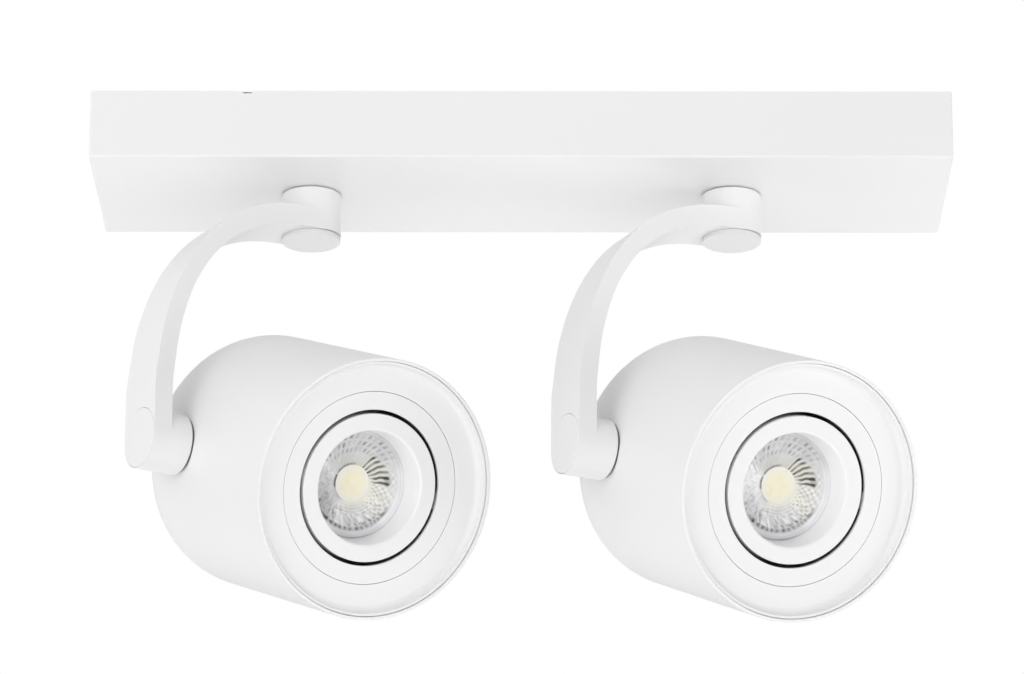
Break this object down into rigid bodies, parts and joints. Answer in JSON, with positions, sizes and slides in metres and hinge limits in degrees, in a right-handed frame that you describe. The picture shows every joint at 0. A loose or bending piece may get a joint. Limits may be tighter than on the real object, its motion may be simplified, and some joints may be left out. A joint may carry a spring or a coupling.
{
  "type": "pivoting spotlight wall light",
  "caption": "Surface spotlight: rectangular base with round can heads on curved side arms, each panning and tilting, with gimballed reflector lamps.",
  "frame": {"origin": "centre of the mounting plate's flat face, which lies against the ceiling or wall", "axes": "+Z out of that face into the ceiling, so the heads hang towards -Z; +X along the base; -Y is the front, where the level heads look at zero pan"},
  "size_m": [0.35, 0.1403, 0.2247],
  "materials": {
    "white_steel": "white powder coat, satin",
    "white_head": "white powder coat, satin",
    "zinc": "zinc plated",
    "brass": "bare",
    "rubber_black": "matt",
    "nylon": "natural nylon",
    "acetal_black": "black acetal, self-lubricating",
    "lamp_shell": "white moulded",
    "clear_lens": "clear moulded optic",
    "phosphor": "yellow phosphor",
    "ceramic": "glazed steatite",
    "lead_sleeve": "silicone sleeved",
    "nickel": "nickel plated"
  },
  "bodies": {
    "base": {"base_cover": "white_steel", "mounting_plate": "zinc", "cover_screws": "zinc", "cable_grommet": "rubber_black", "terminal_block": "nylon", "terminal_screws": "brass", "earth_screw": "brass", "earth_washer": "brass", "cable_clamp": "nylon", "retaining_screws": "zinc", "pan_bushes": "nylon", "pan_washers": "nylon", "pan_stop_pins": "zinc", "base_leads": "lead_sleeve"},
    "arm_left": {"arm_left": "white_head", "pan_stem_left": "zinc", "pan_cap_left": "white_head", "pan_stop_washer_left": "zinc", "disc_springs_left": "zinc", "lock_nuts_left": "zinc", "tilt_stem_left": "zinc", "tilt_cap_left": "white_head", "arm_leads_left": "lead_sleeve"},
    "head_left": {"head_can_left": "white_head", "tilt_washer_left": "acetal_black", "front_bezel_left": "white_head", "trim_ring_left": "white_head", "gimbal_pins_left": "zinc", "trim_springs_left": "zinc"},
    "gimbal_left": {"gimbal_ring_left": "white_head", "lamp_clip_left": "zinc", "lamp_body_left": "lamp_shell", "lamp_lens_left": "clear_lens", "lamp_cob_left": "phosphor", "lamp_pins_left": "nickel", "lampholder_left": "ceramic", "head_leads_left": "lead_sleeve"},
    "arm_right": {"arm_right": "white_head", "pan_stem_right": "zinc", "pan_cap_right": "white_head", "pan_stop_washer_right": "zinc", "disc_springs_right": "zinc", "lock_nuts_right": "zinc", "tilt_stem_right": "zinc", "tilt_cap_right": "white_head", "arm_leads_right": "lead_sleeve"},
    "head_right": {"head_can_right": "white_head", "tilt_washer_right": "acetal_black", "front_bezel_right": "white_head", "trim_ring_right": "white_head", "gimbal_pins_right": "zinc", "trim_springs_right": "zinc"},
    "gimbal_right": {"gimbal_ring_right": "white_head", "lamp_clip_right": "zinc", "lamp_body_right": "lamp_shell", "lamp_lens_right": "clear_lens", "lamp_cob_right": "phosphor", "lamp_pins_right": "nickel", "lampholder_right": "ceramic", "head_leads_right": "lead_sleeve"}
  },
  "joints": [
    {"name": "pan_left", "type": "hinge", "parent": "base", "child": "arm_left", "pos_m": [-0.0865, 0, -0.03], "axis": [0, 0, 1], "range_deg": [-192.9, 127.1]},
    {"name": "tilt_left", "type": "hinge", "parent": "arm_left", "child": "head_left", "pos_m": [-0.0865, 0, -0.1485], "axis": [0.8396, 0.5432, 0], "range_deg": [-22.4, 67.6]},
    {"name": "gimbal_left", "type": "hinge", "parent": "head_left", "child": "gimbal_left", "pos_m": [-0.06149, -0.05209, -0.17213], "axis": [0.8396, 0.5432, 0], "range_deg": [-15, 15]},
    {"name": "pan_right", "type": "hinge", "parent": "base", "child": "arm_right", "pos_m": [0.0865, 0, -0.03], "axis": [0, 0, 1], "range_deg": [-187, 133]},
    {"name": "tilt_right", "type": "hinge", "parent": "arm_right", "child": "head_right", "pos_m": [0.0865, 0, -0.1485], "axis": [0.891, 0.454, 0], "range_deg": [-23.6, 66.4]},
    {"name": "gimbal_right", "type": "hinge", "parent": "head_right", "child": "gimbal_right", "pos_m": [0.10579, -0.05394, -0.17332], "axis": [0.891, 0.454, 0], "range_deg": [-15, 15]}
  ]
}
